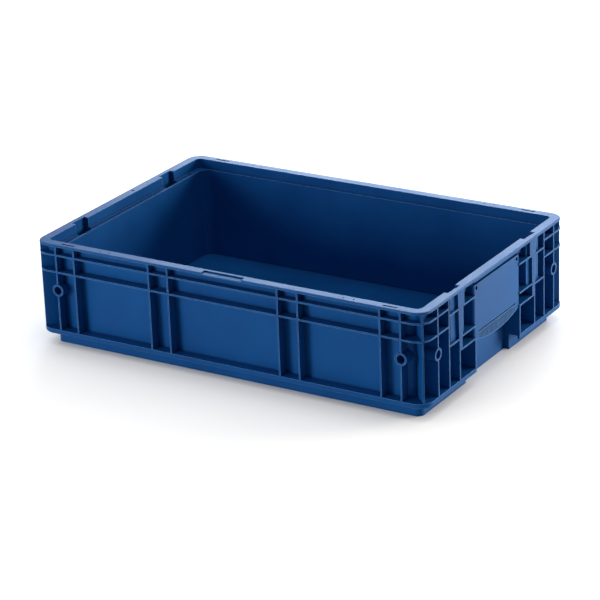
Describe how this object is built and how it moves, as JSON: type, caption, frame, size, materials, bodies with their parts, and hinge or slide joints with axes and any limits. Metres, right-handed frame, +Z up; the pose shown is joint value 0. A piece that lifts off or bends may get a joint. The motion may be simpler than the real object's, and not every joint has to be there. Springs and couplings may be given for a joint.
{
  "type": "small load carrier box",
  "caption": "Low rectangular plastic transport crate with ribbed outer walls, flat rim, inset stacking foot, label plate and grip recess on each short side.",
  "frame": {"origin": "on the floor, under the centre of the crate", "axes": "+X along the long sides, +Y along the short sides, +Z up; the front long side faces -Y"},
  "size_m": [0.594, 0.396, 0.1475],
  "materials": {
    "crate_plastic": "satin moulded polypropylene"
  },
  "bodies": {
    "root": {"crate_body": "crate_plastic"}
  },
  "joints": []
}
